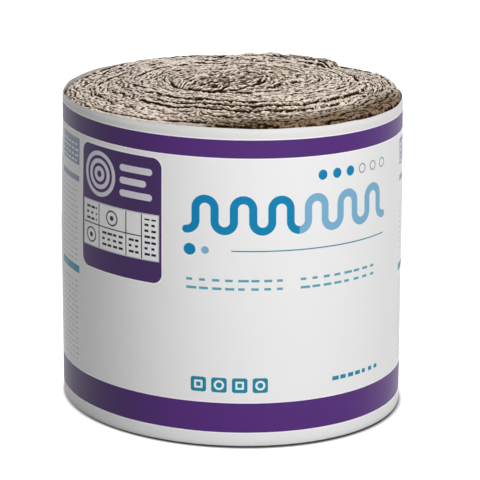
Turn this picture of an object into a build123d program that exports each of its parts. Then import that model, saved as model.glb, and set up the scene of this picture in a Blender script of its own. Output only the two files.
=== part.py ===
"""A roll of unfaced glass-wool insulation, squeezed into a sleeve of plastic film.

The roll stands on its lower end. The origin is at the middle of that end, +Z is up, and -Y is the
front of the film. One long blanket is wound up without a core, so its turns show on both ends as
ridges with a groove between each two. The spiral runs from the eye out to the blanket's tail,
where a groove crosses the last ridge. At the upper end each ridge stands somewhat above the next
one outward, and the lower end is pressed flat. All sizes are in millimetres.
"""

import os
from math import degrees, pi

from build123d import *

# The blanket: its width makes the roll's height, and its length the number of turns
blanket_width = 381.0
blanket_length = 9754.0
roll_radius = 206.0

# The upper end: the eye's height over the outer turns, how flat the middle is, where 2 gives a
# bowl and more gives a plateau, and how far the rim is worn off
crown_height = 12.0
crown_flatness = 2.5
rim_chamfer = 7.0

# The grooves between the turns
groove_width = 8.0
groove_depth = 6.0
base_groove_depth = 3.5

# The blanket's tail, as an angle about the axis from +X
tail_azimuth = -104.0

# The film, and the lap where its outer edge is glued down at the back
film_thickness = 0.5
film_height = 379.0
film_bottom = 1.5
lap_width = 60.0
lap_azimuth = 90.0

# Each turn is as thick as the blanket's length, wound into the end's area, allows
turn_pitch = pi * roll_radius**2 / blanket_length
groove_count = int(roll_radius / turn_pitch) - 1
tail_radius = turn_pitch * groove_count
middle_height = blanket_width + crown_height

# The outer turns are level from here out
level_radius = tail_radius - turn_pitch


def ridge_height(radius):
    """The height of a ridge whose middle is at this distance from the axis."""
    fall = min(radius / level_radius, 1.0) ** crown_flatness
    return middle_height - crown_height * fall


def upper_outline(centre, radii):
    """What half a turn of cutting takes off the upper end, with a V at each of these radii."""
    points = [(centre, 2 * middle_height), (centre, middle_height)]
    for radius in radii:
        inner = ridge_height(radius - turn_pitch / 2)
        outer = ridge_height(radius + turn_pitch / 2)
        points += [
            (centre + radius - groove_width / 2, inner),
            (centre + radius, outer - groove_depth),
            (centre + radius + groove_width / 2, outer),
        ]
    reach = centre + 2 * roll_radius
    return points + [(reach, blanket_width), (reach, 2 * middle_height)]


def groove(across, tip, way):
    """A V with its tip at this place and height, open upwards if way is 1 and down if it is -1."""
    mouth = tip + way * 2 * groove_depth
    return [(across, tip), (across + groove_width, mouth), (across - groove_width, mouth)]


with BuildPart() as wool_roll:
    # The squeezed roll, turned from half of its section
    with BuildSketch(Plane.XZ):
        with BuildLine():
            Polyline(
                (0, 0),
                (0, middle_height),
                (level_radius, middle_height),
                (level_radius, blanket_width),
                (roll_radius, blanket_width),
                (roll_radius, 0),
                close=True,
            )
        make_face()
        chamfer(vertices().group_by(Axis.X)[-1].sort_by(Axis.Y)[-1], rim_chamfer)
    revolve(axis=Axis.Z)

    # The spiral between the turns, as half circles about two centres, half a pitch apart
    across_tail = Plane.XZ.rotated((0, 0, tail_azimuth + 180))
    near_radii = [turn_pitch * count for count in range(1, groove_count + 1)]
    far_radii = [radius + turn_pitch / 2 for radius in near_radii[:-1]]
    for centre, radii, angle in ((0, near_radii, 180), (turn_pitch / 2, far_radii, -180)):
        with BuildSketch(across_tail):
            Polygon(*upper_outline(centre, radii), align=None)
            for radius in radii[:-1]:
                Polygon(*groove(centre + radius, base_groove_depth, -1), align=None)
        upright = Axis(across_tail.from_local_coords((centre, 0, 0)), (0, 0, 1))
        revolve(axis=upright, revolution_arc=angle, mode=Mode.SUBTRACT)

    # The groove that crosses the outermost ridge at the blanket's tail
    with BuildSketch(Plane.YZ.rotated((0, 0, tail_azimuth)).offset(tail_radius)):
        Polygon(*groove(0, blanket_width - groove_depth, 1), align=None)
    extrude(amount=roll_radius, mode=Mode.SUBTRACT)
wool_roll.part.label = "wool_roll"

with BuildPart() as film_sleeve:
    # One sheet of film round the roll
    with BuildSketch(Plane.XY.offset(film_bottom)):
        Circle(roll_radius + film_thickness)
        Circle(roll_radius, mode=Mode.SUBTRACT)
    extrude(amount=film_height)

    # The lap, where the sheet's outer edge lies on its inner one
    lap_angle = degrees(lap_width / roll_radius)
    with BuildSketch(Plane.XZ.rotated((0, 0, lap_azimuth - lap_angle / 2))):
        with Locations((roll_radius + film_thickness, film_bottom)):
            Rectangle(film_thickness, film_height, align=(Align.MIN, Align.MIN))
    revolve(axis=Axis.Z, revolution_arc=lap_angle)
film_sleeve.part.label = "film_sleeve"

os.makedirs("parts", exist_ok=True)
export_step(wool_roll.part, "parts/wool_roll.step")
export_step(film_sleeve.part, "parts/film_sleeve.step")
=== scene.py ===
"""The looks of a roll of glass-wool insulation in a printed film sleeve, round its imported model.

Two pieces replace the model's two nodes. The wool is one closed mesh whose upper end carries the
turns of the wound blanket, its flat-folded eye, its fibrous layers and its worn edge. The film is
one sheet, wrapped once round with a lap at the back, and its print is drawn by the nodes of its
material, in millimetres along and up the sheet. Sizes here are in millimetres, apart from those of
the camera, the lamps and the floor, which are in metres like the finished meshes.
"""

from math import cos, pi, radians, sin

import bpy
import numpy as np
from mathutils import Matrix, Vector


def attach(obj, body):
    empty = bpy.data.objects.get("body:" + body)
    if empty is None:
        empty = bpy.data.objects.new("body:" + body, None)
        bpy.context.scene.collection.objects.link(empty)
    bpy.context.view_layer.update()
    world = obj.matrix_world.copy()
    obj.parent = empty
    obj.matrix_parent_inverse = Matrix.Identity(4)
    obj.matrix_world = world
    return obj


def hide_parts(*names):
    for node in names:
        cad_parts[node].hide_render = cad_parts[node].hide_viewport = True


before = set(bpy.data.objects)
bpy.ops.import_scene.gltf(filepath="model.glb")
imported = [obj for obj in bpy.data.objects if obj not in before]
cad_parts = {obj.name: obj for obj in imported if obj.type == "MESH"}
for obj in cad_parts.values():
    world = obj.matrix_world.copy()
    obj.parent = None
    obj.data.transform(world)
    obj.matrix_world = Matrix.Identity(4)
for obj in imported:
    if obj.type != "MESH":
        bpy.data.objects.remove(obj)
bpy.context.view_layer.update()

MM = 0.001

# The roll, as in part.py
BLANKET_WIDTH = 381.0
BLANKET_LENGTH = 9754.0
ROLL_RADIUS = 206.0
TURN_PITCH = pi * ROLL_RADIUS**2 / BLANKET_LENGTH
FILM_TOP = 380.5
LAP_WIDTH = 60.0

# The film's lower edge is nearer to the floor than in part.py, because the dark line between the
# two is that thin in the photograph
FILM_BOTTOM = 0.4

# The soft roll leans a little to the left: its middle stays, and its ends move this far. Its left
# side is drawn in by this much, more and more between these heights
LEAN = 5.4
DRAWN_IN = 2.6
DRAWN_LEVELS = (180, 370)

# It bulges by this much, less and less between these heights under its rim
BELLY = 1.2
BELLY_LEVELS = (250, 375)

# The camera, fitted to the film's rim, the edges of its bands and the line on the floor
CAMERA_ELEVATION = 15.70
CAMERA_DISTANCE = 3.2439
CAMERA_ROLL = 1.83
CAMERA_TARGET = (0.0103, 0.0, 0.1924)
CAMERA_LENS = 198.83

# What takes plain gradient noise to a range of about -1 to 1
NOISE_GAIN = 1.6


def smooth_step(low, high, value):
    """0 below low, 1 above high, and an S-curve between."""
    t = np.clip((value - low) / (high - low), 0, 1)
    return t * t * (3 - 2 * t)


def leaning(x, z):
    """x with the roll's lean and its drawn-in side added, for points at height z."""
    left = np.clip(-x / ROLL_RADIUS, 0, 1) ** 2
    drawn = DRAWN_IN * left * smooth_step(*DRAWN_LEVELS, z)
    return x + LEAN * (1 - 2 * z / BLANKET_WIDTH) + drawn


class Noise:
    """Smooth gradient noise in three dimensions, from about -1 to 1, the same for a seed each run."""

    def __init__(self, seed):
        generator = np.random.default_rng(seed)
        self.order = np.concatenate([generator.permutation(256)] * 2)
        slopes = generator.normal(size=(256, 3))
        self.slopes = slopes / np.linalg.norm(slopes, axis=1)[:, None]

    def __call__(self, x, y, z):
        place = np.stack(np.broadcast_arrays(x, y, z), axis=-1).astype(float)
        cell = np.floor(place).astype(int)
        inside = place - cell
        fade = inside**3 * (inside * (inside * 6 - 15) + 10)
        total = np.zeros(place.shape[:-1])
        for corner in np.ndindex(2, 2, 2):
            index = (cell + corner) & 255
            mixed = self.order[self.order[self.order[index[..., 0]] + index[..., 1]] + index[..., 2]]
            dot = ((inside - corner) * self.slopes[mixed]).sum(axis=-1)
            weight = np.where(np.array(corner) == 1, fade, 1 - fade).prod(axis=-1)
            total += weight * dot
        return total * NOISE_GAIN


def make_object(name, points, faces, material):
    """A smooth mesh object from points in millimetres."""
    mesh = bpy.data.meshes.new(name)
    mesh.from_pydata((np.asarray(points) * MM).tolist(), [], faces.tolist())
    mesh.polygons.foreach_set("use_smooth", [True] * len(mesh.polygons))
    mesh.materials.append(material)
    mesh.update()
    made = bpy.data.objects.new(name, mesh)
    bpy.context.scene.collection.objects.link(made)
    return made


def add_attribute(made, name, values):
    """One number or one vector for each vertex, which the material's nodes read by this name."""
    values = np.asarray(values, float)
    if values.ndim == 1:
        made.data.attributes.new(name, "FLOAT", "POINT").data.foreach_set("value", values)
    else:
        layer = made.data.attributes.new(name, "FLOAT_VECTOR", "POINT")
        layer.data.foreach_set("vector", values.ravel())


def disc(rings):
    """Points and triangles of an evenly filled unit disc. Each ring has six points more."""
    points = [(0.0, 0.0)]
    faces = []
    for ring in range(1, rings + 1):
        angles = 2 * pi * np.arange(6 * ring) / (6 * ring)
        points += list(zip(ring / rings * np.cos(angles), ring / rings * np.sin(angles)))
        outer = 1 + 3 * ring * (ring - 1)
        inner = 1 + 3 * (ring - 1) * (ring - 2) if ring > 1 else 0
        inner_count = max(6 * (ring - 1), 1)
        for side in range(6):
            for step in range(ring):
                here = outer + side * ring + step
                after = outer + (side * ring + step + 1) % (6 * ring)
                below = inner + (side * (ring - 1) + step) % inner_count
                faces.append((here, after, below))
                if step < ring - 1:
                    beyond = inner + (side * (ring - 1) + step + 1) % inner_count
                    faces.append((after, beyond, below))
    return np.array(points), np.array(faces)


# The wool

# How many rings of points its ends have: even, and the base has half as many
TOP_RINGS = 160

# Its wall, with the heights of the wall's rows of points, and its ends. They stay clear of the film
WALL_RADIUS = 204.8
WALL_LEVELS = (366.0, 250.0, 120.0, 6.0)
TOP_RADIUS = 203.2
BASE_RADIUS = 202.0

# The upper end's edge is worn off over this width and by this much, as this power of the way out
EDGE_WIDTH = 8.0
EDGE_DROP = 7.5
EDGE_ROUNDNESS = 2.4

# From here on an azimuth is an angle in degrees about the axis from +X. A start or a stop is where
# something fades in or out, as two shares of the roll's radius unless it says something else

# The turns' middle wanders: the eye, the raised middle turns, and the outer turns at the axis
AXIS = (0.0, 0.0)
EYE_CENTRE = (-17.0, -12.0)
MOUND_CENTRE = (17.0, 12.0)
EYE_STOP = (0.15, 0.5)
MOUND_STOP = (0.62, 1.0)

# The middle turns are squeezed longer from side to side than from front to back
SQUEEZE = 0.12
SQUEEZE_STOP = (0.6, 1.0)

# The raised turns are pressed in at this azimuth
DENT = 13.0
DENT_AZIMUTH = -27.0
DENT_SPREAD = 20.0
DENT_START = (0.3, 0.6)
DENT_STOP = (0.75, 1.0)

# The turns waver, less at their middle and at the rim. Each wave of a list of waves has a height, a
# length and its own layer of the noise
TURN_WAVES = ((4.5, 70, 0.5), (2.2, 26, 7.5), (1.2, 11, 3.5))
WAVES_START = (0.0, 0.12)
RIM_START = (0.85, 1.0)

# The blanket's first stretch is folded flat in the eye, so its layers run nearly straight, at this
# slant. The pitch is from layer to layer, and the fibres are coarser than elsewhere
EYE_RADIUS = 55.0
EYE_SLANT = 40.0
EYE_PITCH = 13.0
EYE_COARSENESS = 2.4
EYE_WAVES = ((9, 38, 11.5), (3, 15, 15.5))
EYE_EDGE_WAVES = ((5, 25, 13.5),)

# The left and right, as the sine of a place's angle from the front or the back, and how far out
SIDE_TURN = (0.45, 0.9)
SIDE_START = (0.15, 0.45)

# The front and the rear, as shares of the roll's radius towards each
FRONT_START = (0.3, 0.6)
REAR_START = (0.25, 0.5)

# How far the middle of the end rises over a flat one, and over how many turns
MOUND_DOME = 4.0
DOME_TURNS = 11.0

# Where the turns step down on the way out, as a turn, how far it falls, where along the turn, and
# how bold the groove there is. A step is this part of a turn long, and its groove is boldest this
# far on, with this spread in turns. On the left the steps are smoothed out, more and more from 0 to
# 40 mm off the axis
STEPS = ((4.2, 3.0, 0.0, 0.0), (8.5, 2.0, 0.35, 0.0), (9.9, 5.0, 0.5, 1.3), (11.4, 1.5, 0.2, 0.0))
STEP_LENGTH = 0.75
SMOOTHED_LEFT = (0, 40)
BOLD_PLACE = 0.3
BOLD_SPREAD = 0.7

# The outer turns stand higher at the front right than at the rear left
RIM_LEVEL = 380.5
RIM_TILT = 5.5
RIM_TILT_AZIMUTH = -22.0

# They swell up at the right and at the rear, as an azimuth, a spread and a rise
SWELLS = ((18.0, 24.0, 5.0), (115.0, 28.0, 4.0))
SWELL_START = (0.7, 0.95)

# Levels change along each turn by this much, about so many times in a turn, and from place to place
LEVEL_CHANGE = 2.6
LEVEL_CHANGES = 2.2
LEVEL_WAVES = ((2.0, 55, 3.5),)

# At the rear right the outermost raised turn bulges up. It is highest at its first azimuth and
# falls away towards its last one, both in radians, as a power of what is left of the way. It rises
# from its foot's turn to its own one, and drops to the outer turns between the last two
BULGE = 9.5
BULGE_FROM = 0.66
BULGE_TO = 1.9
BULGE_FALL = 0.6
BULGE_FOOT = 8
BULGE_TURN = 11
BULGE_DROP = (11.95, 12.4)

# The wool is calm on the bulge's outer face, between these turns
FACE_START = (11.7, 11.85)
FACE_STOP = (12.35, 12.55)

# The boldest marks, each where two turns part, a groove with a line of painted shade in it: the
# point that it bends round, its azimuths and its distances from that point at both ends, its half
# width, and how bold it is
MARKS = (
    (EYE_CENTRE, (176.0, 356.0), (57.0, 53.0), 3.0, 2.0),
    (EYE_CENTRE, (135.0, 5.0), (58.0, 53.0), 2.6, 1.2),
    (AXIS, (181.0, 124.0), (166.0, 146.0), 3.4, 1.5),
    (AXIS, (166.0, 114.0), (119.0, 111.0), 3.6, 1.7),
    (AXIS, (190.0, 108.0), (111.0, 72.0), 2.8, 1.4),
    (AXIS, (114.0, 84.0), (117.0, 109.0), 3.6, 1.5),
    (AXIS, (90.0, 24.0), (80.0, 102.0), 3.4, 1.6),
    (AXIS, (74.0, 2.0), (140.0, 155.0), 3.6, 1.7),
    (AXIS, (184.0, 238.0), (122.0, 86.0), 2.4, 1.4),
    (AXIS, (216.0, 250.0), (137.0, 129.0), 2.6, 1.4),
    (AXIS, (318.0, 346.0), (98.0, 136.0), 2.2, 1.2),
)
MARK_DEPTH = 2.4

# A mark fades in and out over these shares of its length, and is this much of its width where it
# runs from front to back
MARK_START = (0.0, 0.12)
MARK_STOP = (0.85, 1.0)
MARK_NARROWEST = 0.45
MARK_WAVES = ((2.2, 17, 21.5), (1.2, 7, 23.5))
MARK_UNEVENNESS = ((0.6, 15, 25.5),)

# The grooves between turns, and between the layers that each turn splits into. The lines of
# painted shade in them are wider than the grooves
GROOVE_HALF_WIDTH = 1.7
GROOVE_DEPTH = 3.2
LINE_HALF_WIDTH = 2.4
LAYERS = 3
LAYER_DEPTH = 2.2
LAYER_HALF_WIDTH = 1.1
LAYER_LINE_HALF_WIDTH = 1.5
LAYER_LINE_SHARE = 0.6

# The heights of the fibres' relief: creases and rounded folds in the layers, with streaks at the
# rear, then clumps, grains and fine grains, with coarser ones in front
CREASE = 2.6
FOLD = 0.9
REAR_STREAK = 2.4
CLUMP = 0.8
GRAIN = 1.4
FINE_GRAIN = 0.9
FRONT_GRAIN = 1.0

# On the left and right the fibres hang together in long and short dashes as well, which turn to
# the rear on their way out
LONG_DASH = 2.0
SHORT_DASH = 1.1
DASH_SLANT = 0.45

# How much of the relief is in the shape, and how much less on the left and right, where more of it
# is in the colour alone, as painted shade and highlight
RELIEF_SHARE = 0.8
SIDE_FLATNESS = 0.35

# The blanket's last stretch along the rim, by azimuth. It is one turn wide
TAIL_START = (-150.0, -138.0)
TAIL_STOP = (-99.0, -97.0)
TAIL_INNER = 1 - TURN_PITCH / ROLL_RADIUS
TAIL_GROOVE_DEPTH = 4.0
TAIL_GROOVE_HALF_WIDTH = 2.2
# Its groove holds a line of painted shade, this bold, this wide and set in this far
TAIL_LINE_BOLDNESS = 2.0
TAIL_LINE_HALF_WIDTH = 3.0
TAIL_LINE_INSET = 1.5

# The wool is darker and browner at the rim's front right, by how far out a place is and how far
# towards the front right, and by this much on the bulge, where it is painted shade
BROWN_START = (0.75, 0.92)
BROWN_TURN = (0.42, 0.80)
BULGE_SHADE = 0.6

# Its colour follows how far its relief stands over its neighbourhood, a narrow and a wide one: how
# many rounds of averaging make it, and how many millimetres count as 1. This is painted shade in
# hollows and painted highlight on crests, and the lines of painted shade go off it
NARROW_ROUNDS, NARROW_RELIEF = 5, 0.85
WIDE_ROUNDS, WIDE_RELIEF = 40, 3.0
LINE_SHADE = 0.8

# How much more contrast its painted shade and highlight have to the sides, at the rear and where
# it is browner, and how much less in front
SIDE_CONTRAST = 0.5
REAR_CONTRAST = 1.0
REAR_CONTRAST_START = (0.3, 0.6)
BROWN_CONTRAST = 0.35
FRONT_CONTRAST = -0.25
FRONT_CONTRAST_START = (0.4, 0.7)

# It is paler at its left and right, as painted light, and darker at the rear and the front. It is
# darker in one part of the eye too, in full up to the first radius and not at all beyond the second
SIDE_PAINTED_LIGHT = 0.56
SIDE_LIGHT_START = (0.1, 0.55)
REAR_TONE = -0.36
FRONT_TONE = -0.18
FAR_TONE_START = (0.35, 0.6)
EYE_TONE = 0.45
EYE_SHADE = (-4.0, -42.0)
EYE_SHADE_RADII = (18, 50)

# The lower end's grooves, pressed flat, which stop short of its rim. They are darker with painted
# shade, by this much for each millimetre of their depth
BASE_GROOVE_DEPTH = 3.5
BASE_GROOVE_HALF_WIDTH = 2.6
BASE_GROOVES_STOP = (0.93, 0.97)
BASE_GROOVE_SHADE = -0.4

warp_noise = Noise(11)
level_noise = Noise(12)
layer_noise = Noise(13)
grain_noise = Noise(14)
groove_noise = Noise(15)


def waves(noise, x, y, rows):
    """The sum of these waves of a noise."""
    total = 0 * x
    for height, length, layer in rows:
        total = total + height * noise(x / length, y / length, layer)
    return total


def between(start, stop, value):
    """1 between the two ranges, with an S-curve in each of them, and 0 outside them."""
    return smooth_step(*start, value) * (1 - smooth_step(*stop, value))


def groove_share(gap, half_width):
    """How deep in a groove a point is, 1 at its bottom, for its distance from the groove's line."""
    return np.exp(-((gap / half_width) ** 2))


def azimuth_of(x, y):
    return np.degrees(np.arctan2(y, x))


def marks(x, y):
    """How deep in one of the boldest marks each point is. They waver, and fade out at both ends."""
    total = 0 * x
    waver = waves(warp_noise, x, y, MARK_WAVES)
    uneven = np.clip(1 + waves(warp_noise, x, y, MARK_UNEVENNESS), 0.55, 1.3)
    for centre, azimuths, distances, half_width, boldness in MARKS:
        across, back = x - centre[0], y - centre[1]
        reach = np.hypot(across, back)
        turned = (azimuth_of(across, back) - azimuths[0] + 180) % 360 - 180
        share = turned / (azimuths[1] - azimuths[0])
        distance = distances[0] + (distances[1] - distances[0]) * np.clip(share, 0, 1)
        sideways = np.sqrt(np.abs(back) / (reach + 1))
        narrowed = half_width * (MARK_NARROWEST + (1 - MARK_NARROWEST) * sideways)
        depth = uneven * groove_share(reach - distance + waver, narrowed)
        total = np.maximum(total, boldness * between(MARK_START, MARK_STOP, share) * depth)
    return total


def winding(x, y):
    """For points of an end: their distance from the turns' middle there, and their angle round it."""
    share = np.hypot(x, y) / ROLL_RADIUS
    eye = 1 - smooth_step(*EYE_STOP, share)
    mound = between(EYE_STOP, MOUND_STOP, share)
    squeeze = 1 + SQUEEZE * (1 - smooth_step(*SQUEEZE_STOP, share))
    across = (x - eye * EYE_CENTRE[0] - mound * MOUND_CENTRE[0]) / np.sqrt(squeeze)
    back = (y - eye * EYE_CENTRE[1] - mound * MOUND_CENTRE[1]) * np.sqrt(squeeze)
    dent = groove_share(azimuth_of(x, y) - DENT_AZIMUTH, DENT_SPREAD)
    distance = np.hypot(across, back) + DENT * dent * between(DENT_START, DENT_STOP, share)
    calm = smooth_step(*WAVES_START, share) * (1 - 0.6 * smooth_step(*RIM_START, share))
    distance = distance + calm * waves(warp_noise, x, y, TURN_WAVES)
    return distance, np.arctan2(back, across) % (2 * pi)


def levels(x, y, distance, turns, along, side, rim):
    """Each turn's own level, which runs on from one turn to the next, and how bold its groove is."""
    smoothed = side * smooth_step(*SMOOTHED_LEFT, -x) * (turns - np.floor(turns) - 0.5)
    tilt_at = radians(RIM_TILT_AZIMUTH)
    tilt = (x * cos(tilt_at) + y * sin(tilt_at)) / ROLL_RADIUS
    dome = np.clip(1 - (distance / (TURN_PITCH * DOME_TURNS)) ** 2, 0, 1)
    level = RIM_LEVEL + RIM_TILT * tilt + MOUND_DOME * dome
    bold = 0 * x
    for turn, fall, place, boldness in STEPS:
        stepped = smooth_step(turn, turn + STEP_LENGTH, along + smoothed - place)
        level = level + fall * (1 - stepped)
        bold = bold + boldness * groove_share(along - turn - BOLD_PLACE, BOLD_SPREAD)
    for azimuth, spread, rise in SWELLS:
        swell = rise * groove_share(azimuth_of(x, y) - azimuth, spread)
        level = level + swell * smooth_step(*SWELL_START, rim)
    changes = LEVEL_CHANGE * level_noise(along * LEVEL_CHANGES, 0.5, 0.5)
    changes = changes + waves(level_noise, x, y, LEVEL_WAVES)
    level = level + changes * (1 - 0.5 * smooth_step(*RIM_START, rim))
    return level, bold * (1 - 0.8 * side)


def grooves(x, y, share, run, side, bold, in_eye):
    """The grooves between turns and between their layers, as relief and as lines of painted shade.

    They are broken up along their run. On the left and right clumps hide them.
    """
    strength = np.clip(0.2 + groove_noise(x / 24, y / 24, run / 14), 0.05, 1) * (1 - 0.35 * side)
    strength = np.maximum(strength, bold)
    eye_strength = np.clip(0.45 + groove_noise(x / 18, y / 18, 31.5), 0, 1.2)
    strength = np.where(in_eye, eye_strength, strength)
    layer_strength = np.clip(0.5 + 1.4 * groove_noise(x / 18, y / 18, run / 5), 0, 1.3)
    layer_strength = layer_strength * (1 - 0.3 * side)
    layer = (share * LAYERS + 0.7 * groove_noise(x / 30, y / 30, 9.5)) % 1
    gap = np.minimum(share, 1 - share) * TURN_PITCH
    layer_gap = np.minimum(layer, 1 - layer) * TURN_PITCH / LAYERS
    wider = 1 + 0.5 * bold - 0.3 * side + 0.7 * in_eye
    relief = -GROOVE_DEPTH * strength * groove_share(gap, GROOVE_HALF_WIDTH * wider)
    relief = relief - LAYER_DEPTH * layer_strength * groove_share(layer_gap, LAYER_HALF_WIDTH)
    layer_line = layer_strength * groove_share(layer_gap, LAYER_LINE_HALF_WIDTH)
    lines = strength * groove_share(gap, LINE_HALF_WIDTH * wider) + LAYER_LINE_SHARE * layer_line
    return relief, lines


def fibres(x, y, run, side, front, rear, in_eye):
    """The relief of the fibres in the layers, and of clumps and grains."""
    # Layers that follow the turns, as sharp creases between rounded folds
    crease = np.abs(layer_noise(run / 4.0, x / 24, y / 24))
    folds = layer_noise(run / 6.0, x / 15 + 9, y / 15)
    thin = np.abs(layer_noise(run / 2.7, x / 13, y / 13 + 5))
    layered = CREASE * np.clip(crease, 0, 0.5) + FOLD * folds + CREASE * np.clip(thin, 0, 0.5)
    layered = layered + REAR_STREAK * rear * layer_noise(x / 22 + 60, y / 9.5, 8.5)
    relief = layered * (1 - 0.45 * side)

    # Clumps and grains, with dashes on the left and right
    slanted = y - DASH_SLANT * np.abs(x)
    grain = GRAIN - 0.4 * side - 0.6 * in_eye
    relief = relief + CLUMP * grain_noise(x / 11, y / 11, 0.5)
    relief = relief + grain * grain_noise(x / 4.2, y / 4.8, run / 3.4)
    relief = relief + LONG_DASH * side * grain_noise(x / 8 + 40, slanted / 6.5, 2.5)
    relief = relief + SHORT_DASH * side * grain_noise(x / 4.5 + 70, slanted / 4.5, 4.5)
    relief = relief + (FINE_GRAIN + 0.5 * front) * grain_noise(x / 2.6, y / 2.6, 5.5)
    return relief + FRONT_GRAIN * front * grain_noise(x / 5.0, y / 6.0, 7.5)


def upper_end(x, y):
    """The upper end at these places: its height, its relief, and what its colours follow."""
    distance, angle = winding(x, y)
    turns = distance / TURN_PITCH - angle / (2 * pi)
    count = np.floor(turns)
    along = count + angle / (2 * pi)
    rim = np.hypot(x, y) / ROLL_RADIUS
    side = smooth_step(*SIDE_TURN, np.abs(x) / (np.hypot(x, y) + 1)) * smooth_step(*SIDE_START, rim)
    front = smooth_step(*FRONT_START, -y / ROLL_RADIUS) * (1 - side)
    rear = smooth_step(*REAR_START, y / ROLL_RADIUS) * (1 - side)

    # In the eye the place across the layers takes the place of the distance from the middle
    slant = radians(EYE_SLANT)
    eye_x, eye_y = x - EYE_CENTRE[0], y - EYE_CENTRE[1]
    eye_across = eye_y * cos(slant) - eye_x * sin(slant) + waves(warp_noise, x, y, EYE_WAVES)
    in_eye = np.hypot(eye_x, eye_y) + waves(warp_noise, x, y, EYE_EDGE_WAVES) < EYE_RADIUS
    share = np.where(in_eye, eye_across / EYE_PITCH % 1, turns - count)
    run = np.where(in_eye, eye_across / EYE_COARSENESS, distance)

    # The turns' levels and the bulge
    level, bold = levels(x, y, distance, turns, along, side, rim)
    facing = (np.arctan2(y, x) - BULGE_FROM) / (BULGE_TO - BULGE_FROM)
    bulge = smooth_step(0, 0.07, facing) * np.clip(1 - facing, 0, 1) ** BULGE_FALL
    raised = bulge * (1 - smooth_step(*BULGE_DROP, turns))
    level = level + BULGE * raised * smooth_step(BULGE_FOOT, BULGE_TURN, turns)
    face = np.sqrt(bulge) * between(FACE_START, FACE_STOP, turns)

    # The relief, calmer at the rim, with the boldest marks, and its lines of painted shade
    relief, lines = grooves(x, y, share, run, side, bold, in_eye)
    relief = relief + fibres(x, y, run, side, front, rear, in_eye)
    relief = relief * (1 - 0.45 * smooth_step(0.90, 1.0, rim))
    marked = marks(x, y)
    relief = (relief - MARK_DEPTH * marked) * (1 - 0.75 * face)
    lines = (lines * (1 - 0.1 * front) + marked) * (1 - 0.85 * face)

    # The blanket's last stretch lies smooth and pale along the rim, with painted shade in a line
    # inside it
    tail = between(TAIL_START, TAIL_STOP, azimuth_of(x, y))
    last = tail * smooth_step(TAIL_INNER, TAIL_INNER + 0.02, rim)
    beyond = (rim - TAIL_INNER) * ROLL_RADIUS
    tail_groove = tail * groove_share(beyond, TAIL_GROOVE_HALF_WIDTH)
    relief = relief * (1 - 0.5 * last) - TAIL_GROOVE_DEPTH * tail_groove
    tail_line = tail * groove_share(beyond + TAIL_LINE_INSET, TAIL_LINE_HALF_WIDTH)
    lines = lines * (1 - last) + TAIL_LINE_BOLDNESS * tail_line

    # Darker and browner at the rim's front right, and painted shade on the bulge
    front_right = (0.6 * x - 0.8 * y) / ROLL_RADIUS
    brown = smooth_step(*BROWN_START, rim) * smooth_step(*BROWN_TURN, front_right)
    brown = brown + BULGE_SHADE * raised * smooth_step(BULGE_TURN - 1.5, BULGE_TURN, turns)
    height = level + relief * (RELIEF_SHARE - SIDE_FLATNESS * side)
    return height, relief, lines, last, brown, run


def lower_end(x, y):
    """The lower end's height at these places, and their distance from the turns' middle."""
    distance, angle = winding(x, y)
    turns = distance / TURN_PITCH - angle / (2 * pi)
    share = turns - np.floor(turns)
    gap = np.minimum(share, 1 - share) * TURN_PITCH
    inner = 1 - smooth_step(*BASE_GROOVES_STOP, np.hypot(x, y) / ROLL_RADIUS)
    height = BASE_GROOVE_DEPTH * inner * groove_share(gap, BASE_GROOVE_HALF_WIDTH)
    height = height + 0.5 * inner * (1 + layer_noise(distance / 5, x / 30, y / 30))
    return np.maximum(height - 0.4, 0), distance


def neighbour_mean(values, faces, rounds):
    """Values averaged over their neighbours in the mesh this many times."""
    pairs = np.concatenate([faces[:, [0, 1]], faces[:, [1, 2]], faces[:, [2, 0]]])
    pairs = np.concatenate([pairs, pairs[:, ::-1]])
    counts = np.bincount(pairs[:, 0], minlength=len(values))
    for _ in range(rounds):
        sums = np.bincount(pairs[:, 0], weights=values[pairs[:, 1]], minlength=len(values))
        values = 0.3 * values + 0.7 * sums / counts
    return values


def tones(x, y, relief, lines, brown, faces):
    """How pale the upper end is by its relief: painted shade under 0 in hollows and lines, painted
    highlight over 0 on crests.
    """
    narrow = (relief - neighbour_mean(relief, faces, NARROW_ROUNDS)) / NARROW_RELIEF
    wide = (relief - neighbour_mean(relief, faces, WIDE_ROUNDS)) / WIDE_RELIEF
    across, back = np.abs(x) / ROLL_RADIUS, y / ROLL_RADIUS
    gain = 1 + SIDE_CONTRAST * across + REAR_CONTRAST * smooth_step(*REAR_CONTRAST_START, back)
    gain = gain * (1 + BROWN_CONTRAST * brown)
    gain = gain * (1 + FRONT_CONTRAST * smooth_step(*FRONT_CONTRAST_START, -back))
    pale = (narrow + wide - LINE_SHADE * lines) * gain
    far_tone = REAR_TONE * smooth_step(*FAR_TONE_START, back)
    far_tone = far_tone + FRONT_TONE * smooth_step(*FAR_TONE_START, -back)
    side_share = smooth_step(*SIDE_LIGHT_START, across)
    shade = np.hypot(x - EYE_SHADE[0], y - EYE_SHADE[1])
    eye_tone = EYE_TONE * (1 - smooth_step(*EYE_SHADE_RADII, shade))
    return pale + SIDE_PAINTED_LIGHT * side_share + far_tone * (1 - side_share) - eye_tone


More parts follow.
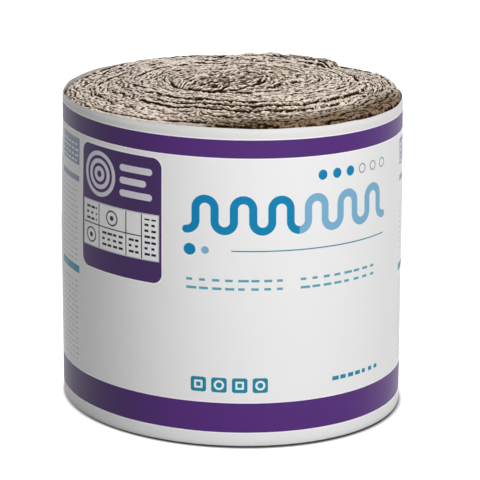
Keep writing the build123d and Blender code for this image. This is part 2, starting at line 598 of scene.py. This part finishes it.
def joined_ends(top, top_faces, base, base_faces):
    """Points and triangles of both ends and the wall, and where the base's points start."""
    base_rings = TOP_RINGS // 2
    top_rim = 1 + 3 * TOP_RINGS * (TOP_RINGS - 1)
    base_rim = 1 + 3 * base_rings * (base_rings - 1)
    count = 6 * base_rings
    start = len(top)
    base_start = start + len(WALL_LEVELS) * count
    rim = base[base_rim:, :2] * WALL_RADIUS / BASE_RADIUS
    points = [top]
    for level in WALL_LEVELS:
        points.append(np.column_stack([rim, np.full(count, level)]))
    points.append(base)

    # One row of triangles from the fine rim to half as many points, then plain rows
    step = np.arange(count)
    following = (step + 1) % count
    fine = top_rim + 2 * step
    fine_middle = fine + 1
    fine_next = top_rim + 2 * following
    faces = [top_faces]
    faces.append(np.column_stack([fine_middle, fine, start + step]))
    faces.append(np.column_stack([fine_next, fine_middle, start + following]))
    faces.append(np.column_stack([fine_middle, start + step, start + following]))
    rows = [start + row * count for row in range(len(WALL_LEVELS))] + [base_start + base_rim]
    for upper, lower in zip(rows, rows[1:]):
        faces.append(np.column_stack([upper + following, upper + step, lower + step]))
        faces.append(np.column_stack([upper + following, lower + step, lower + following]))
    faces.append(base_faces[:, ::-1] + base_start)
    return np.concatenate(points), np.concatenate(faces), base_start


def make_wool(material):
    """The wound blanket as one closed mesh: both ends and the wall between them."""
    top, top_faces = disc(TOP_RINGS)
    base, base_faces = disc(TOP_RINGS // 2)
    x, y = (top * TOP_RADIUS).T
    base_x, base_y = (base * BASE_RADIUS).T
    height, relief, lines, last, brown, run = upper_end(x, y)
    edge = np.clip((np.hypot(x, y) - TOP_RADIUS + EDGE_WIDTH) / EDGE_WIDTH, 0, 1)
    top = np.column_stack([x, y, height - EDGE_DROP * edge**EDGE_ROUNDNESS])
    base_height, base_distance = lower_end(base_x, base_y)
    base = np.column_stack([base_x, base_y, base_height])
    points, faces, base_start = joined_ends(top, top_faces, base, base_faces)

    def for_all(top_values, base_values=0):
        """One number for each point, 0 on the wall."""
        values = np.zeros(len(points))
        values[: len(top)] = top_values
        values[base_start:] = base_values
        return values

    along = np.column_stack([points[:, :2], for_all(run, base_distance)])
    points[:, 0] = leaning(points[:, 0], points[:, 2])
    made = make_object("wool", points, faces, material)
    pale = tones(x, y, relief, lines, brown, top_faces)
    # Painted shade and highlight of the upper end's relief, and painted shade in the lower end's
    # grooves
    add_attribute(made, "relief", for_all(pale, BASE_GROOVE_SHADE * base_height))
    add_attribute(made, "along", along * MM)
    # Darker and browner at the rim's front right, and painted shade on the bulge
    add_attribute(made, "olive", for_all(brown))
    add_attribute(made, "pale", for_all(last))
    return made


# The film

FILM_RADIUS = ROLL_RADIUS + 0.25
FILM_LENGTH = 2 * pi * FILM_RADIUS + LAP_WIDTH

# Its columns and rows of points. The rows are close together in the lip under the rim, and in the
# hem, which is rounded in towards the floor. The body starts one of its own rows below the lip
FILM_COLUMNS = 540
LIP_HEIGHT = 8.0
LIP_ROWS = 9
BODY_TOP = FILM_TOP - 11
BODY_ROWS = 118
HEM_HEIGHT = 1.0
HEM_ROWS = 7

# The lap stands off by this much, and the sheet rises to it over this length
LAP_RISE = 0.7
LAP_RAMP = 14.0

# The rim turns in over the wool's edge, starting this far down, and is drawn down at the left
RIM_TURN = 9.0
RIM_TURNED_IN = 1.4
LEFT_DROP = 4.6

film_noise = Noise(21)


def make_film(material):
    """The sleeve as one sheet, from its inner edge at the back round to the lap over it."""
    half = FILM_LENGTH / 2
    lip = np.linspace(FILM_TOP, FILM_TOP - LIP_HEIGHT, LIP_ROWS)
    body = np.linspace(BODY_TOP, FILM_BOTTOM + HEM_HEIGHT, BODY_ROWS)
    hem_turn = np.linspace(0, pi / 2, HEM_ROWS + 1)[1:]
    hem = FILM_BOTTOM + HEM_HEIGHT * (1 - np.sin(hem_turn))
    along = np.linspace(-half, half, FILM_COLUMNS + 1)
    place, level = np.meshgrid(along, np.concatenate([lip, body, hem]))
    angle = place / FILM_RADIUS - pi / 2
    x, y = np.cos(angle), np.sin(angle)

    # The sheet's last stretch lies on its first
    lap_edge = half - LAP_WIDTH
    radius = FILM_RADIUS + LAP_RISE * smooth_step(lap_edge - LAP_RAMP, lap_edge, place)
    radius = radius + 0.25 * film_noise(x * 3.2, y * 3.2, level / 60)
    radius = radius + BELLY * (1 - smooth_step(*BELLY_LEVELS, level))

    # The rim turns in over the wool's edge and waves a little
    rim = smooth_step(FILM_TOP - RIM_TURN, FILM_TOP, level)
    turned = RIM_TURNED_IN + 1.0 * film_noise(x * 4, y * 4, 9.5)
    radius = radius - rim**2 * turned
    left = np.clip(0.35 * y - 0.94 * x, 0, 1)
    height = level + rim * (0.8 * film_noise(x * 5, y * 5, 3.5) - LEFT_DROP * left)
    risen = np.clip((level - FILM_BOTTOM) / HEM_HEIGHT, 0, 1)
    radius = radius - HEM_HEIGHT * (1 - np.sqrt(1 - (1 - risen) ** 2))
    points = np.stack([radius * x, radius * y, height], axis=-1)
    points[..., 0] = leaning(points[..., 0], points[..., 2])

    rows, columns = level.shape
    corner = np.arange(rows * columns).reshape(rows, columns)
    faces = np.stack([corner[1:, :-1], corner[1:, 1:], corner[:-1, 1:], corner[:-1, :-1]], axis=-1)
    made = make_object("film", points.reshape(-1, 3), faces.reshape(-1, 4), material)
    add_attribute(made, "place", np.stack([place, level, 0 * level], axis=-1).reshape(-1, 3))
    return made


# Materials

class Nodes:
    """Builds the nodes of a material or a world. Numbers and sockets can be given alike as inputs."""

    def __init__(self, owner):
        owner.use_nodes = True
        self.owner = owner
        self.tree = owner.node_tree
        self.tree.nodes.clear()

    def add(self, kind, inputs=(), output=0, **settings):
        node = self.tree.nodes.new(kind)
        for key, value in settings.items():
            setattr(node, key, value)
        pairs = inputs.items() if isinstance(inputs, dict) else enumerate(inputs)
        for key, value in pairs:
            if isinstance(value, bpy.types.NodeSocket):
                self.tree.links.new(value, node.inputs[key])
            elif value is not None:
                node.inputs[key].default_value = value
        return node.outputs[output]

    def math(self, operation, *inputs):
        return self.add("ShaderNodeMath", inputs, operation=operation)

    def vector(self, operation, *inputs, output=0):
        return self.add("ShaderNodeVectorMath", inputs, output, operation=operation)

    def mix(self, share, first, second):
        """The first colour, with the second over it as far as share says."""
        return self.add("ShaderNodeMixRGB", (share, first, second))

    def ramp(self, value, stops):
        """A colour that changes with the value through these stops."""
        output = self.add("ShaderNodeValToRGB", (value,))
        elements = output.node.color_ramp.elements
        while len(elements) < len(stops):
            elements.new(0.5)
        for element, (position, colour) in zip(elements, stops):
            element.position = position
            element.color = (*colour, 1)
        return output

    def rise(self, value, limits):
        """0 up to the first limit, 1 beyond the second, and a straight line between."""
        inputs = {"Value": value, "From Min": limits[0], "From Max": limits[1]}
        return self.add("ShaderNodeMapRange", inputs)

    def attribute(self, name, output="Fac"):
        return self.add("ShaderNodeAttribute", output=output, attribute_name=name)

    def seen(self):
        """1 where a ray is part of what the camera sees, and 0 where it only lights something."""
        path = self.tree.nodes.new("ShaderNodeLightPath")
        seen = self.math("MAXIMUM", path.outputs["Is Camera Ray"], path.outputs["Is Glossy Ray"])
        return self.math("MAXIMUM", seen, path.outputs["Is Transmission Ray"])

    def finish(self, shader, kind="ShaderNodeOutputMaterial"):
        target = self.tree.nodes.new(kind)
        self.tree.links.new(shader, target.inputs["Surface"])
        return self.owner


# How often the wool's texture changes in a metre: its fibres, ten times as often across the turns
# as along them, its fine grains, and its clumps
FIBRE_SCALE = (90.0, 90.0, 900.0)
GRAIN_SCALE = 420.0
CLUMP_SCALE = 28.0

# How much of its relief, which is painted shade and highlight, its texture and its clumps goes
# into its colour
RELIEF_WEIGHT = 0.36
TEXTURE_WEIGHT = 0.9
CLUMP_WEIGHT = 0.25

# Its colours from the bottom of a gap up to a crest: dark in the gaps as painted shade, and pale
# on the crests as painted highlight
WOOL_COLOURS = (
    (0.10, (0.022, 0.011, 0.005)),
    (0.32, (0.145, 0.088, 0.050)),
    (0.54, (0.395, 0.300, 0.222)),
    (0.90, (1.000, 0.880, 0.780)),
)

# What its colour is multiplied by where it is browner, which on the bulge is painted shade, and
# mixed with where it is paler
BROWNER = (0.30, 0.245, 0.18, 1)
PALER = (0.80, 0.73, 0.63, 1)
PALER_SHARE = 0.45


def wool_material():
    """Brown glass wool: painted shade between the turns, painted highlight on their crests, and fine
    fibres along them.
    """
    nodes = Nodes(bpy.data.materials.new("glass_wool"))
    relief = nodes.attribute("relief")
    along = nodes.attribute("along", "Vector")
    stretched = nodes.vector("MULTIPLY", along, FIBRE_SCALE)

    def texture_noise(vector, scale, detail):
        """Noise that goes as far under 0 as over it."""
        noise = nodes.add("ShaderNodeTexNoise", {"Vector": vector, "Scale": scale, "Detail": detail})
        return nodes.math("SUBTRACT", noise, 0.5)

    clumps = texture_noise(along, CLUMP_SCALE, 2.0)
    fibres = texture_noise(stretched, 1.0, 3.0)
    texture = nodes.math("ADD", fibres, texture_noise(along, GRAIN_SCALE, 3.0))
    depth = nodes.math("MULTIPLY_ADD", relief, RELIEF_WEIGHT, 0.5)
    depth = nodes.math("MULTIPLY_ADD", texture, TEXTURE_WEIGHT, depth)
    depth = nodes.math("MULTIPLY_ADD", clumps, CLUMP_WEIGHT, depth)
    colour = nodes.ramp(depth, WOOL_COLOURS)
    # Browner where the olive attribute says so, which on the bulge is painted shade
    darker = nodes.add("ShaderNodeMixRGB", (1.0, colour, BROWNER), blend_type="MULTIPLY")
    colour = nodes.mix(nodes.attribute("olive"), colour, darker)
    paler = nodes.mix(PALER_SHARE, colour, PALER)
    colour = nodes.mix(nodes.attribute("pale"), colour, paler)
    bump_height = nodes.math("MULTIPLY_ADD", texture, TEXTURE_WEIGHT, relief)
    bump = nodes.add("ShaderNodeBump", {"Strength": 0.6, "Distance": 0.0006, "Height": bump_height})
    shader = nodes.add("ShaderNodeBsdfPrincipled", {
        "Base Color": colour,
        "Roughness": 0.95,
        "Specular IOR Level": 0.05,
        "Normal": bump,
    })
    return nodes.finish(shader)


# The inks, with two purples darkened as painted shade: one for the bands on the left, and one for
# the panel
PURPLE = (0.084, 0.023, 0.178, 1)
SHADED_PURPLE = (0.054, 0.024, 0.108, 1)
SHADED_PANEL_PURPLE = (0.060, 0.027, 0.118, 1)
PALE_VIOLET = (0.70, 0.67, 0.74, 1)
BLACK = (0.020, 0.016, 0.030, 1)
BLUE = (0.001, 0.222, 0.45, 1)
LIGHT_BLUE = (0.20, 0.43, 0.63, 1)
TEAL = (0.012, 0.24, 0.36, 1)
PALE_TEAL = (0.10, 0.36, 0.46, 1)
GREY_BLUE = (0.28, 0.32, 0.42, 1)
PALE_GREY = (0.60, 0.62, 0.66, 1)
FILM_WHITE = (0.865, 0.865, 0.86, 1)
RIM_WHITE = (0.775, 0.77, 0.76, 1)
EDGE_WHITE = (0.97, 0.97, 0.97, 1)

# The plain bands, as lowest and highest level, and the pale edge of each one
BANDS = ((346.0, 367.2), (17.2, 53.2))
BAND_EDGE = 1.3

# Painted shade darkens their ink to the left between the first two places along the sheet, and
# ends at the rear between the other two
BAND_SHADE_IN = (-60.0, -175.0)
BAND_SHADE_OUT = (-330.0, -480.0)

# The design on the front comes back on the rear half in two parts: from which place along the
# sheet, to the right and to the left, and how far the design has moved there
RIGHT_REPEAT, RIGHT_MOVE = 340.0, 400.0
LEFT_REPEAT, LEFT_MOVE = -298.0, -230.0

# How long the plain bars of the rows are: the shortest one, and how much longer the longest one
# is, as shares of the length from one bar to the next
BAR_SHORTEST = 0.42
BAR_CHANGE = 0.45

# The two tables between the front and the back, by their left edges, and their margin
TABLES = (-276, 274)
TABLE_WIDTH = 60
TABLE_MARGIN = 3


class Print(Nodes):
    """Shapes of ink on the sheet, each as a share of 0 or 1. Places are along and up the sheet."""

    def box(self, place, low, high, rounding=0.0):
        """A box between two corners. Its own corners can be rounded."""
        centre = ((low[0] + high[0]) / 2, (low[1] + high[1]) / 2, 0)
        half = ((high[0] - low[0]) / 2 - rounding, (high[1] - low[1]) / 2 - rounding, 1)
        offset = self.vector("ABSOLUTE", self.vector("SUBTRACT", place, centre))
        beyond = self.vector("MAXIMUM", self.vector("SUBTRACT", offset, half), (0, 0, 0))
        away = self.vector("LENGTH", beyond, output="Value")
        return self.math("LESS_THAN", away, max(rounding, 0.01))

    def reach(self, place, centre):
        """How far each place is from this centre."""
        return self.vector("LENGTH", self.vector("SUBTRACT", place, (*centre, 0)), output="Value")

    def disc(self, place, centre, radius):
        return self.math("LESS_THAN", self.reach(place, centre), radius)

    def ring(self, place, centre, radius, stroke):
        off = self.math("ABSOLUTE", self.math("SUBTRACT", self.reach(place, centre), radius))
        return self.math("LESS_THAN", off, stroke / 2)

    def both(self, first, second):
        return self.math("MULTIPLY", first, second)

    def words(self, place, low, high, row_height, word_length, fill):
        """Rows of plain bars with uneven lengths, where fill is how much of a row's height is ink."""
        x, y, _ = self.parts(self.vector("SUBTRACT", place, (low[0], low[1], 0)))
        row = self.math("FLOOR", self.math("DIVIDE", y, row_height))
        shifted = self.math("DIVIDE", x, word_length)
        word = self.math("FLOOR", shifted)
        spot = self.add("ShaderNodeCombineXYZ", (word, row, 0.5))
        chance = self.add("ShaderNodeTexWhiteNoise", {"Vector": spot}, noise_dimensions="3D")
        bar_end = self.math("MULTIPLY_ADD", chance, BAR_CHANGE, BAR_SHORTEST)
        in_word = self.math("LESS_THAN", self.math("FRACT", shifted), bar_end)
        in_row = self.math("LESS_THAN", self.math("FRACT", self.math("DIVIDE", y, row_height)), fill)
        return self.both(self.both(in_word, in_row), self.box(place, low, high))

    def parts(self, vector):
        """The three numbers of a vector."""
        return self.add("ShaderNodeSeparateXYZ", (vector,)).node.outputs

    def loops(self, place, start, middle, width, straight, stroke):
        """An endless row of upright loops, as builders draw insulation, from this place on."""
        x, y, _ = self.parts(self.vector("SUBTRACT", place, (start, middle, 0)))
        folded = self.math("PINGPONG", x, width)
        upper = self.math("GREATER_THAN", y, 0.0)
        across = self.math("SUBTRACT", folded, self.math("MULTIPLY", upper, width))
        bent = self.math("SUBTRACT", self.math("ABSOLUTE", y), straight / 2)
        above = self.math("MAXIMUM", bent, 0.0)
        bend = self.add("ShaderNodeCombineXYZ", (across, above, 0.0))
        off = self.math("SUBTRACT", self.vector("LENGTH", bend, output="Value"), width / 2)
        return self.math("LESS_THAN", self.math("ABSOLUTE", off), stroke / 2)


def front_design(ink, place, colour):
    """A plain design in three parts: a panel with a coil, a row of loops, and small shapes."""

    def paint(mask, paint_colour):
        nonlocal colour
        colour = ink.mix(mask, colour, paint_colour)

    # The panel, with a coil seen from its end beside three bars, over a plain grid
    paint(ink.box(place, (-207.5, 188.5), (-78.5, 340.5), 13), EDGE_WHITE)
    # The panel's purple is darkened as painted shade
    paint(ink.box(place, (-206, 190), (-80, 339), 12), SHADED_PANEL_PURPLE)
    for radius in (6.5, 15.5, 24.5):
        paint(ink.ring(place, (-172, 306), radius, 5.2), PALE_VIOLET)
    for level, bar_end in ((321, -92), (306, -100), (291, -92)):
        paint(ink.box(place, (-138, level - 4), (bar_end, level + 4), 4), PALE_VIOLET)
    paint(ink.box(place, (-203, 216), (-83, 272)), PALE_GREY)
    paint(ink.box(place, (-201.5, 217.5), (-84.5, 270.5)), FILM_WHITE)
    for across in (-172, -128, -106):
        paint(ink.box(place, (across - 0.7, 217.5), (across + 0.7, 270.5)), BLACK)
    paint(ink.box(place, (-201.5, 243.3), (-106, 244.7)), BLACK)
    for centre in ((-150, 257), (-187, 230)):
        paint(ink.ring(place, centre, 8.5, 1.8), BLACK)
        paint(ink.disc(place, centre, 3), BLACK)
    for low, high in (
        ((-196, 248), (-176, 268)),
        ((-166, 222), (-132, 240)),
        ((-124, 222), (-110, 240)),
        ((-102, 222), (-87, 266)),
    ):
        paint(ink.words(place, low, high, 7.0, 9.0, 0.42), BLACK)

    # The row of loops, in one blue for its first 132 mm and another for the rest, with round ends
    row = ink.loops(place, -50, 279, 22.0, 15, 9.4)
    for left, row_end, shade in ((-50, -50, BLUE), (82, 214, LIGHT_BLUE)):
        paint(ink.both(row, ink.box(place, (left, 250), (left + 132, 310))), shade)
        paint(ink.disc(place, (row_end, 260.5), 4.7), shade)

    # Small discs over the row's right end, and a thin line under it that starts at two discs
    for across in (112, 132, 152):
        paint(ink.disc(place, (across, 323), 6), BLUE)
    for across in (172, 192, 212):
        paint(ink.ring(place, (across, 323), 5.2, 1.6), GREY_BLUE)
    paint(ink.box(place, (2, 236.2), (216, 237.6)), TEAL)
    paint(ink.disc(place, (-46, 237), 7), BLUE)
    paint(ink.disc(place, (-28, 237), 4.5), LIGHT_BLUE)

    # Two short rows of bars, four plain tiles and one more row, in teal
    for left in (-50, 84):
        paint(ink.words(place, (left, 190), (left + 112, 206), 10.0, 15.0, 0.30), PALE_TEAL)
    for count, across in enumerate((-36, -12, 12, 36)):
        paint(ink.box(place, (across - 9, 66), (across + 9, 84), 3), TEAL)
        if count % 2:
            paint(ink.disc(place, (across, 75), 6), FILM_WHITE)
            paint(ink.disc(place, (across, 75), 3.4), TEAL)
        else:
            paint(ink.box(place, (across - 5, 70), (across + 5, 80), 1), FILM_WHITE)
            paint(ink.box(place, (across - 2.5, 72.5), (across + 2.5, 77.5)), TEAL)
    paint(ink.words(place, (128, 72), (212, 78), 10.0, 12.0, 0.5), TEAL)
    return colour


def side_table(ink, place, colour, left):
    """A pale table of rows between the front and the back, from this place along the sheet."""
    right = left + TABLE_WIDTH
    for low, high, shade in ((306, 338, GREY_BLUE), (286, 293, GREY_BLUE), (174, 183, TEAL)):
        colour = ink.mix(ink.box(place, (left, low), (right, high)), colour, shade)
    for low, high, shade in ((309, 335, FILM_WHITE), (188, 280, PALE_GREY), (64, 168, PALE_GREY)):
        corners = ((left + TABLE_MARGIN, low), (right - TABLE_MARGIN, high))
        colour = ink.mix(ink.words(place, *corners, 6.5, 11.0, 0.32), colour, shade)
    return colour


def film_material():
    """White film of soft gloss, printed with plain bands and a plain design."""
    ink = Print(bpy.data.materials.new("printed_film"))
    place = ink.attribute("place", "Vector")
    along, level, _ = ink.parts(place)
    colour = ink.mix(ink.math("GREATER_THAN", level, BANDS[0][1]), FILM_WHITE, RIM_WHITE)
    # Painted shade on the bands' purple towards the left
    dark = ink.math("SUBTRACT", ink.rise(along, BAND_SHADE_IN), ink.rise(along, BAND_SHADE_OUT))
    band_ink_and_shade = ink.mix(dark, PURPLE, SHADED_PURPLE)
    for low, high in BANDS:
        for edge, shade in ((BAND_EDGE, EDGE_WHITE), (0, band_ink_and_shade)):
            over = ink.math("GREATER_THAN", level, low - edge)
            under = ink.math("LESS_THAN", level, high + edge)
            colour = ink.mix(ink.both(over, under), colour, shade)
    moved_right = ink.math("MULTIPLY", ink.math("GREATER_THAN", along, RIGHT_REPEAT), -RIGHT_MOVE)
    moved_left = ink.math("MULTIPLY", ink.math("LESS_THAN", along, LEFT_REPEAT), -LEFT_MOVE)
    shift = ink.add("ShaderNodeCombineXYZ", (ink.math("ADD", moved_right, moved_left), 0.0, 0.0))
    colour = front_design(ink, ink.vector("ADD", place, shift), colour)
    for left in TABLES:
        colour = side_table(ink, place, colour, left)
    position = ink.add("ShaderNodeNewGeometry", output="Position")
    unevenness = ink.add("ShaderNodeTexNoise", {"Vector": position, "Scale": 16.0, "Detail": 2.0})
    bump = ink.add("ShaderNodeBump", {"Strength": 0.15, "Distance": 0.004, "Height": unevenness})
    shader = ink.add("ShaderNodeBsdfPrincipled", {
        "Base Color": colour,
        "Roughness": 0.42,
        "Specular IOR Level": 0.14,
        "Normal": bump,
    })
    return ink.finish(shader)


# A contact shadow is painted on the floor: dark in a thin line at the roll's foot, and risen to plain
# white a little further out, as distances in metres from this centre
SHADOW_CENTRE = ((LEAN + 1.5) * MM, -6.5 * MM, 0)
SHADOW_REACH = (0.2040, 0.2125)
FLOOR_GLOW = 0.02
FLOOR_SIZE = 30.0
FLOOR_SHADOW_GREY = (0.05, 0.05, 0.05, 1)
FLOOR_WHITE = (0.60, 0.60, 0.60, 1)


def floor_material():
    """A white floor with the roll's shadow and a painted contact shadow, white to the camera
    elsewhere.
    """
    nodes = Nodes(bpy.data.materials.new("floor"))
    place = nodes.add("ShaderNodeNewGeometry", output="Position")
    distance = nodes.vector("LENGTH", nodes.vector("SUBTRACT", place, SHADOW_CENTRE), output="Value")
    risen = nodes.rise(distance, SHADOW_REACH)
    # Painted contact shadow: the floor's colour and glow are low near the roll's foot
    diffuse = nodes.add("ShaderNodeBsdfDiffuse", {"Color": nodes.mix(risen, FLOOR_SHADOW_GREY, FLOOR_WHITE)})
    level = nodes.math("MULTIPLY_ADD", risen, 1 - FLOOR_GLOW, FLOOR_GLOW)
    glow = nodes.add("ShaderNodeEmission", {"Strength": nodes.math("MULTIPLY", nodes.seen(), level)})
    return nodes.finish(nodes.add("ShaderNodeAddShader", (diffuse, glow)))


# How bright the world is as light, where 1 is white
WORLD_LIGHT = 0.05


def make_world():
    """White to the camera and in reflections, and a plain grey as light."""
    world = bpy.data.worlds.new("studio")
    bpy.context.scene.world = world
    nodes = Nodes(world)
    strength = nodes.add("ShaderNodeMapRange", {
        "Value": nodes.seen(),
        "To Min": WORLD_LIGHT,
        "To Max": 1.0,
    })
    white = {"Color": (1, 1, 1, 1), "Strength": strength}
    nodes.finish(nodes.add("ShaderNodeBackground", white), "ShaderNodeOutputWorld")


# The lamps, with the place in the roll that they face, their distance from it and their size. Each
# one has a name, an azimuth of 0 in front and 90 on the right, an elevation and a power
LAMP_DISTANCE = 3.0
LAMP_SIZE = 1.6
LAMP_TARGET = (0, 0, 0.2)
LAMPS = (
    ("front", 4, 22, 25),
    ("front_right", 37, 22, 39),
    ("top", -20, 80, 28),
    ("back_left", -165, 35, 16),
    ("back_right", 140, 35, 16),
)


def make_lamp(name, azimuth, elevation, power):
    """A soft area lamp that faces the roll."""
    lamp = bpy.data.lights.new(name, "AREA")
    lamp.size = LAMP_SIZE
    lamp.energy = power
    made = bpy.data.objects.new(name, lamp)
    a, e = radians(azimuth), radians(elevation)
    back = Vector((sin(a) * cos(e), -cos(a) * cos(e), sin(e)))
    made.location = Vector(LAMP_TARGET) + back * LAMP_DISTANCE
    made.rotation_mode = "QUATERNION"
    made.rotation_quaternion = (-back).to_track_quat("-Z", "Y")
    bpy.context.scene.collection.objects.link(made)


def make_camera():
    """The camera at the photograph's place, turned a little about its own line of sight."""
    e, roll = radians(CAMERA_ELEVATION), radians(CAMERA_ROLL)
    back = Vector((0, -cos(e), sin(e)))
    right = Vector((1, 0, 0))
    up = back.cross(right)
    side = cos(roll) * right + sin(roll) * up
    rise = -sin(roll) * right + cos(roll) * up
    data = bpy.data.cameras.new("camera")
    data.lens = CAMERA_LENS
    data.sensor_width = 36.0
    made = bpy.data.objects.new("camera", data)
    turn = Matrix((side, rise, back)).transposed().to_4x4()
    made.matrix_world = Matrix.Translation(Vector(CAMERA_TARGET) + CAMERA_DISTANCE * back) @ turn
    bpy.context.scene.collection.objects.link(made)
    bpy.context.scene.camera = made


make_camera()
bpy.context.scene.view_settings.view_transform = "Standard"

wool = make_wool(wool_material())
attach(wool, "root")
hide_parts("wool_roll")

film = make_film(film_material())
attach(film, "root")
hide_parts("film_sleeve")

bpy.ops.mesh.primitive_plane_add(size=FLOOR_SIZE, location=(0, 0, 0))
floor = bpy.context.object
floor.name = "floor"
floor.data.materials.append(floor_material())

make_world()
for lamp_row in LAMPS:
    make_lamp(*lamp_row)
